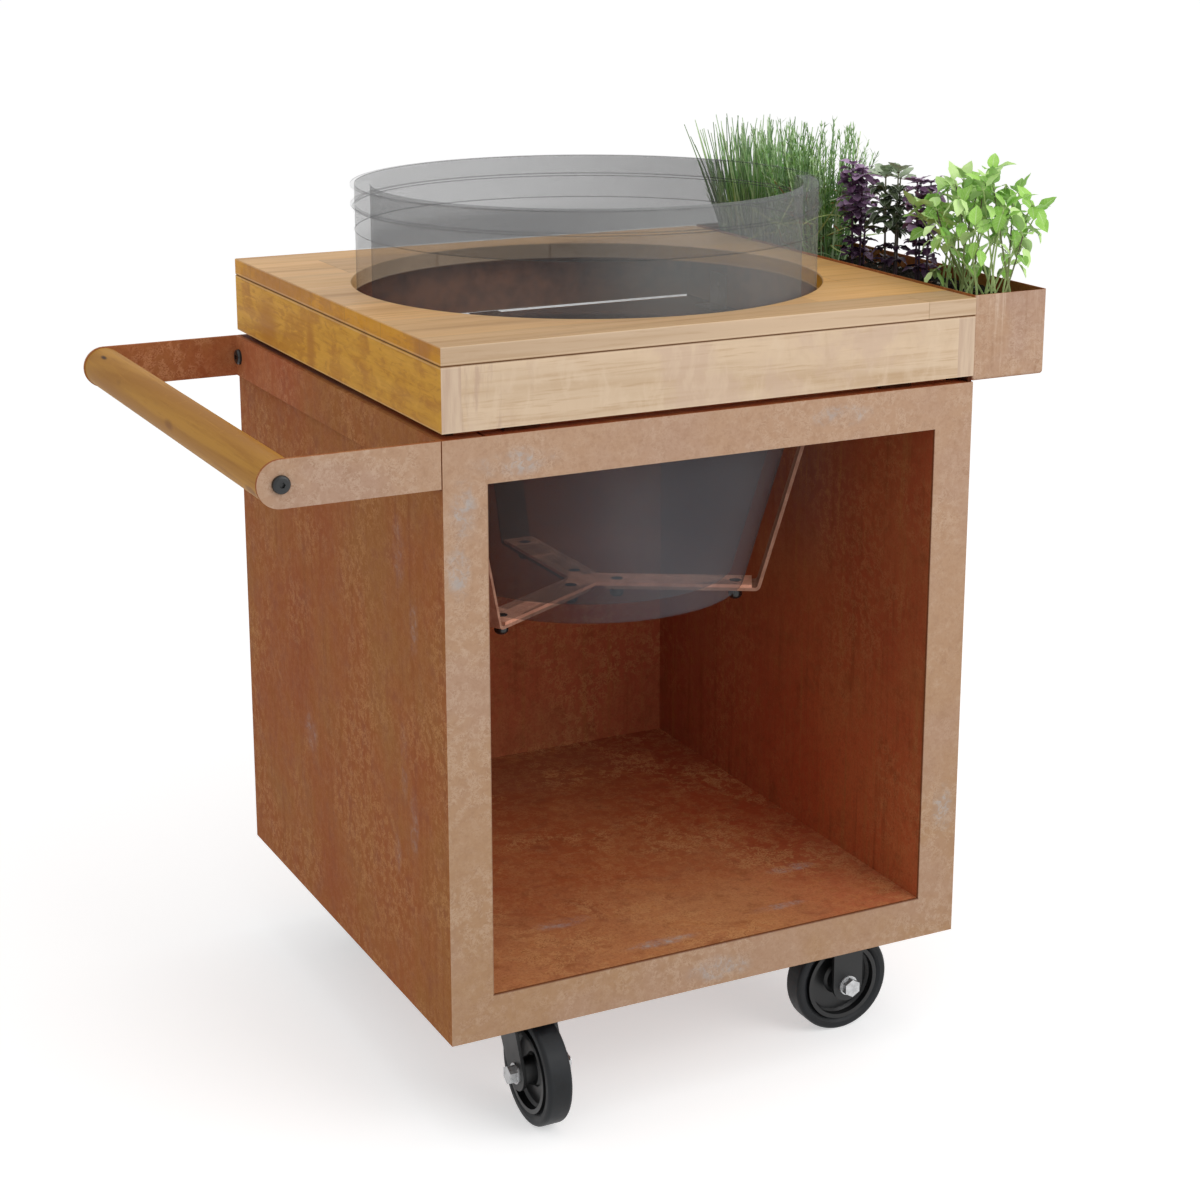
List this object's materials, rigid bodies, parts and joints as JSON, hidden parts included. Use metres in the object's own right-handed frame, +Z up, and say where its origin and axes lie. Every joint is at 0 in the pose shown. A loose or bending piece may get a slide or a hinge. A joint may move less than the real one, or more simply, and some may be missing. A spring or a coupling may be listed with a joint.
{
  "type": "kamado grill table",
  "caption": "Grill table on casters: open steel cabinet, wooden worktop with a round cut-out, hanging cradle holding a ceramic cooker bowl, side push handle and herb planter.",
  "frame": {"origin": "on the ground, under the middle of the whole footprint from the handle to the planter and from the leading caster to the back", "axes": "+Z up; the open front of the cabinet faces -Y; the handle is towards -X and the planter towards +X"},
  "size_m": [0.9664, 0.6876, 1.0523],
  "materials": {
    "steel_panel": "matte",
    "steel_cradle": "matte",
    "wood_top": "satin",
    "wood_dowel": "satin",
    "bracket_steel": "satin",
    "pad_rubber": "matte",
    "black_fastener": "satin",
    "bowl_ceramic": "satin",
    "bowl_band": "satin",
    "soil": "matte",
    "chives_leaf": "matte",
    "rosemary_leaf": "matte",
    "purple_leaf": "matte",
    "sage_leaf": "matte",
    "basil_leaf": "satin",
    "caster_steel": "satin",
    "wheel_rim": "satin",
    "tyre": "satin",
    "zinc": "satin"
  },
  "bodies": {
    "cabinet": {"front_frame": "steel_panel", "left_side_panel": "steel_panel", "right_side_panel": "steel_panel", "back_panel": "steel_panel", "left_bay_wall": "steel_panel", "right_bay_wall": "steel_panel", "bay_floor": "steel_panel", "front_top_rail": "steel_panel", "back_top_angle": "steel_panel", "left_base_rail": "steel_panel", "right_base_rail": "steel_panel", "hanger_plate": "steel_panel", "handle_bracket": "steel_panel", "planter_tray": "steel_panel", "cradle_plate": "steel_cradle", "hanger_strap_1": "steel_cradle", "hanger_strap_2": "steel_cradle", "hanger_strap_3": "steel_cradle", "worktop_slab": "wood_top", "apron_front": "wood_top", "apron_back": "wood_top", "apron_left": "wood_top", "apron_right": "wood_top", "handle_dowel": "wood_dowel", "worktop_brackets": "bracket_steel", "top_screws": "bracket_steel", "spacer_pads": "pad_rubber", "handle_bolts": "black_fastener", "cradle_bolts": "black_fastener", "cradle_nuts": "black_fastener", "soil": "soil", "chives": "chives_leaf", "rosemary": "rosemary_leaf", "purple_basil": "purple_leaf", "sage": "sage_leaf", "green_basil": "basil_leaf", "front_left_caster_plate": "caster_steel", "back_left_caster_plate": "caster_steel", "front_left_swivel_race": "caster_steel", "back_left_swivel_race": "caster_steel", "front_right_fork": "caster_steel", "back_right_fork": "caster_steel", "front_right_axle": "zinc", "back_right_axle": "zinc", "caster_bolts": "zinc"},
    "bowl": {"cooker_bowl": "bowl_ceramic", "bowl_bands": "bowl_band"},
    "front_left_swivel": {"front_left_fork": "caster_steel", "front_left_axle": "zinc"},
    "front_left_wheel": {"front_left_rim": "wheel_rim", "front_left_tyre": "tyre"},
    "front_right_wheel": {"front_right_rim": "wheel_rim", "front_right_tyre": "tyre"},
    "back_left_swivel": {"back_left_fork": "caster_steel", "back_left_axle": "zinc"},
    "back_left_wheel": {"back_left_rim": "wheel_rim", "back_left_tyre": "tyre"},
    "back_right_wheel": {"back_right_rim": "wheel_rim", "back_right_tyre": "tyre"}
  },
  "joints": [
    {"name": "bowl_lift", "type": "slide", "parent": "cabinet", "child": "bowl", "axis": [0, 0, 1], "range_m": [0, 0.45]},
    {"name": "front_left_swivel", "type": "hinge", "parent": "cabinet", "child": "front_left_swivel", "pos_m": [-0.17215, -0.23925, 0.135], "axis": [0, 0, 1], "continuous": true},
    {"name": "front_left_wheel_spin", "type": "hinge", "parent": "front_left_swivel", "child": "front_left_wheel", "pos_m": [-0.17215, -0.28125, 0.0625], "axis": [1, 0, 0], "continuous": true},
    {"name": "front_right_wheel_spin", "type": "hinge", "parent": "cabinet", "child": "front_right_wheel", "pos_m": [0.24785, -0.23925, 0.0625], "axis": [0, 1, 0], "continuous": true},
    {"name": "back_left_swivel", "type": "hinge", "parent": "cabinet", "child": "back_left_swivel", "pos_m": [-0.17215, 0.26675, 0.135], "axis": [0, 0, 1], "continuous": true},
    {"name": "back_left_wheel_spin", "type": "hinge", "parent": "back_left_swivel", "child": "back_left_wheel", "pos_m": [-0.17215, 0.22475, 0.0625], "axis": [1, 0, 0], "continuous": true},
    {"name": "back_right_wheel_spin", "type": "hinge", "parent": "cabinet", "child": "back_right_wheel", "pos_m": [0.24785, 0.26675, 0.0625], "axis": [0, 1, 0], "continuous": true}
  ]
}
